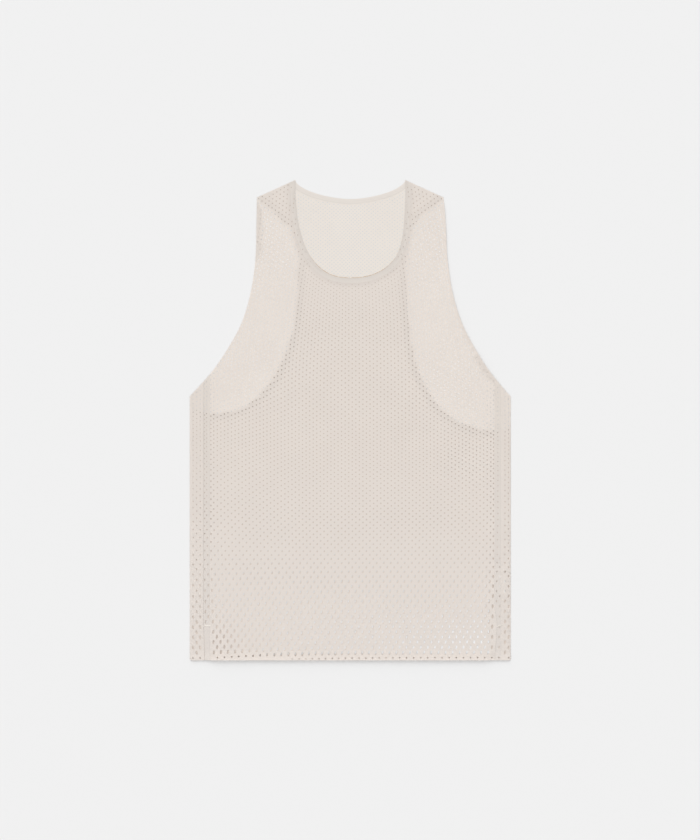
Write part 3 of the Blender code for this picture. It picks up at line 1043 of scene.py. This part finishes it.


# painted shade on the back's wraps and on its inner face under the front
def paintedShadeOnBack(p):
    if p.z > cloth["offTable"] + thick + 0.1 or abs(p.x) > foldX:
        return backPaintedShade["wraps"]
    off = -beyondBack(p.x, p.y)
    share = backPaintedShade["armhole"] * smoothStep(*backPaintedShade["armholeFade"], off)
    share = max(share, backPaintedShade["shoulders"] * smoothStep(*backPaintedShade["shoulderFade"], p.y))
    bySeam = smoothStep(*backPaintedShade["seamFade"], abs(abs(p.x) - backPaintedShade["seamsAt"]))
    return max(share, backPaintedShade["seams"] * bySeam * smoothStep(*backPaintedShade["seamTop"], p.y))


def finishBack(piece):
    # its reverse shows in the neck opening, and its inner face lies in shade under the front
    data = piece.data
    data.materials.append(knitReverse)
    data.materials.append(knitInShade)
    markPaintedTone(piece, paintedShadeOnBack)
    centres = [polygon.center / mm for polygon in data.polygons]
    depths = depthInside([(c.x, c.y) for c in centres], neckline("front", 3.0))
    for polygon, centre, depth in zip(data.polygons, centres, depths):
        if centre.z < cloth["offTable"] + thick + 0.01 and abs(centre.x) < foldX:
            inside = 1 if depth > 0 else 2
            polygon.material_index = inside if depth > 0 or centre.z > cloth["offTable"] + 0.02 else 0


finishBack(backPiece)
print("panels laid")

# neck bands: tape bonded over the raw neck edge; the mesh goes on under the front one
neckBand = {
    # section of the back one, with two pressed lines
    "into": [0.0, 0.15, 0.5, 0.9, 1.3, 1.7, 2.6, 3.4, 3.8, 4.2, 5.4, 6.8, 7.3, 7.5],
    "top": [-0.08, 0.03, 0.06, -0.05, -0.05, 0.06, 0.07, 0.06, -0.03, 0.05, 0.03, 0.01, 0.0, 0.0],
    "wall": 0.16,  # of the front one, and how it stands over the cloth
    "proud": 0.04,
    "holeShare": 0.95,
    "closedBelow": 205.0,
    "openAbove": 250.0,
    "smallestShare": 0.35,
    "paleFrom": 2.0,  # distance from the neck edge at which it starts to grow paler towards its inner edge
}
neckEdge = neckline("front", 0.0, 300)


def bandShare(y):
    return neckBand["holeShare"] * smoothStep(neckBand["closedBelow"], neckBand["openAbove"], y)


def placeBand(u, v, depth):
    return placeUpper(u, v, depth - neckBand["proud"])


# the band is darker at the neck edge and paler towards its inner edge
def bandToneAcross(p):
    return smoothStep(neckBand["paleFrom"], garment["neckBandWidth"], gapTo(neckEdge, p))


band = perforatedSheet(
    "neck_band_front_tape", [*neckline("front"), *reversed(neckBandEdge)],
    smallerHoles(bandShare, neckBand["smallestShare"]), placeBand, bondedTape, neckBand["wall"],
)
markPaintedTone(band, bandToneAcross)
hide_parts("neck_band_front")
bandPieces = [band]
lines = [neckline("back", into, 140) for into in neckBand["into"]]
walls = [thick + top for top in neckBand["top"]]
band = ribbon(
    "neck_band_back_tape", lines[::-1], neckBand["top"][::-1], walls[::-1], placeTable, backTape
)
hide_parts("neck_band_back")
bandPieces.append(band)

# a thin dark strip shows in dashes past the band's edge at the foot of the neckline
neckDarkStrip = {
    "steps": 140, "from": 30, "to": 110, "taper": 22,  # counted along the neckline
    "past": 0.9, "under": 1.2, "below": 0.03, "wall": 0.05,
    "dash": 7, "dashShare": 0.35, "waver": (0.8, 1.1),
}
stripLines = [[], [], []]
clothSide = neckline("front", 1.0, neckDarkStrip["steps"])
for i, (p, q) in enumerate(zip(neckline("front", 0.0, neckDarkStrip["steps"]), clothSide)):
    if neckDarkStrip["from"] <= i <= neckDarkStrip["to"]:
        ends = smoothStep(neckDarkStrip["from"], neckDarkStrip["from"] + neckDarkStrip["taper"], i)
        ends *= smoothStep(neckDarkStrip["to"], neckDarkStrip["to"] - neckDarkStrip["taper"], i)
        dash = neckDarkStrip["dashShare"] if i % neckDarkStrip["dash"] == 0 else 1.0
        inward = (q - p).normalized()
        past = neckDarkStrip["past"] * ends * dash * random.uniform(*neckDarkStrip["waver"])
        stripLines[0].append(p + inward * neckDarkStrip["under"])
        stripLines[1].append(p)
        stripLines[2].append(p - inward * past)
darkStrip = ribbon(
    "neck_edge_dark_strip", stripLines, [-thick - neckDarkStrip["below"]] * 3, [neckDarkStrip["wall"]] * 3,
    placeUpper, darkStripMaterial,
)
darkStrip.parent = bandPieces[0]

# side seams: a strip of the same mesh pressed onto tape, so its holes are small
seamStrip = {
    "holeShare": 0.78,
    "leftFoot": -306.0,  # no holes in the left strip below this
    "leftReach": 1.2,  # it takes in holes that lie up to this far outside it
    "rightShares": [(-360, 0.95), (-335, 0.8), (-315, 0.5), (-230, 0.6), (-150, 0.78)],
}


def leftShare(y):
    return seamStrip["holeShare"] if y > seamStrip["leftFoot"] else 0.0


def rightShare(y):
    return between(seamStrip["rightShares"], y)[0]


for name, seamX, vent, shareAt, outside in (
    ("side_seam_left", garment["seamLeftX"], vents["left"], leftShare, seamStrip["leftReach"]),
    ("side_seam_right", garment["seamRightX"], vents["right"], rightShare, 0.0),
):
    far = seamX + garment["seamStripWidth"]
    outline = [
        Vector((far, hemY)), Vector((far, frontArmholeY(far))), Vector((seamX, frontArmholeY(seamX))),
        *[Vector((edge, y)) for y, edge, _ in reversed(vent)],
    ]
    holes = [besideSeams(hole, seamX, far, outside) for hole in smallerHoles(shareAt)]
    strip = perforatedSheet(name + "_strip", outline, holes, placeUpper, seamTape, thick)
    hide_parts(name)
    bandPieces.append(strip)
print("bands and seams laid")

# the bare label shows as a patch with no holes behind the right wrap
label = {"wall": 0.18, "drop": 0.03, "selvedge": 0.6, "selvedgeDrop": 0.05, "halfSteps": 12}
halfW, halfH = garment["labelWidth"] / 2, garment["labelHeight"] / 2
labelLines, labelTops = [], []
for across in (-halfW, -halfW + label["selvedge"], -2.0, 0.0, 2.0, halfW - label["selvedge"], halfW):
    x, half = garment["labelX"] + across, label["halfSteps"]
    down = [garment["labelY"] + halfH * (1 - i / half) for i in range(2 * half + 1)]
    labelLines.append([Vector((x, y)) for y in reversed(down)])
    atEdge = abs(abs(across) - halfW) < 0.1
    labelTops.append(-thick - label["drop"] - (label["selvedgeDrop"] if atEdge else 0.0))
labelPiece = ribbon(
    "side_label_cloth", labelLines, labelTops, [label["wall"]] * 7, placeUpper, satinLabel
)
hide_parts("side_label")

# edges turned under: the same mesh, lying on the table below its own edge
turnUnder = {"narrowest": 0.6, "inset": 0.3, "holesRight": 0.8, "holesUp": 1.6}
for name, turn in turnedEdges.items():
    side = turn["side"]
    span = [p for p in armholeLines[side] if turn["foot"] < p.y < turn["top"]]
    span = [p for p in span if turnWidth(turn, p.y) > turnUnder["narrowest"]]
    edge = movedSideways(span, side * turnUnder["inset"])
    inner = movedSideways(span, [side * turnWidth(turn, p.y) for p in span])
    outline = [*edge, *reversed(inner)]
    right, up = turnUnder["holesRight"], turnUnder["holesUp"]
    holes = [(x + right, y + up, w, h, slant) for x, y, w, h, slant in frontHoles()]
    turned = perforatedSheet(name, outline, holes, placeTable, knitCloth, thick)
    turned.parent = frontPiece
print("label and turned edges laid")


def threadTube(name, path, radius, material, sides=6):
    # one thread along a path, with round ends
    rings, faces = [], []
    for before, p, after in zip([path[0], *path], path, [*path[1:], path[-1]]):
        along = (after - before).normalized()
        flat = along.cross(Vector((0, 0, 1))).normalized()
        up = flat.cross(along)
        size = radius * (0.4 if p in (path[0], path[-1]) else 1.0)
        for i in range(sides):
            turn = 2 * math.pi * i / sides
            rings.append((p + flat * size * math.cos(turn) + up * size * math.sin(turn)) * mm)
    for r in range(len(path) - 1):
        for i in range(sides):
            a, b = r * sides + i, r * sides + (i + 1) % sides
            faces.append((a, b, b + sides, a + sides))
    faces += [tuple(range(sides))[::-1], tuple(len(rings) - sides + i for i in range(sides))]
    data = bpy.data.meshes.new(name)
    data.from_pydata(rings, [], faces)
    data.shade_smooth()
    data.materials.append(material)
    return addObject(name, data)


# bar tacks: a close zigzag across the top of each vent
barTacks = {
    "bar_tack_left": {"from": (-219.0, -306.9), "to": (-208.6, -306.9), "width": 1.3},
    "bar_tack_right": {"from": (219.4, -309.0), "to": (227.6, -305.8), "width": 1.0},
}
tackThread = {"radius": 0.17, "stitches": 24, "proud": 0.16}
for name, tack in barTacks.items():
    start, end = Vector(tack["from"]), Vector(tack["to"])
    across = Vector((start.y - end.y, end.x - start.x)).normalized() * tack["width"] / 2
    path, count = [], 10 * tackThread["stitches"]  # ten points to a stitch
    for i in range(count + 1):
        p = start.lerp(end, i / count) + across * math.sin(math.pi * i / 5)
        path.append(Vector((p.x, p.y, upperTop(p.x, p.y) + tackThread["proud"])))
    tackPiece = threadTube(name, path, tackThread["radius"], sewingThread)
    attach(tackPiece, "root")
print("bar tacks sewn")

slots = {"bonded_band": bandPieces, "knit_mesh": [frontPiece, backPiece], "label_cloth": [labelPiece]}
for slot, pieces in slots.items():
    for piece in pieces:
        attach(piece, "root")
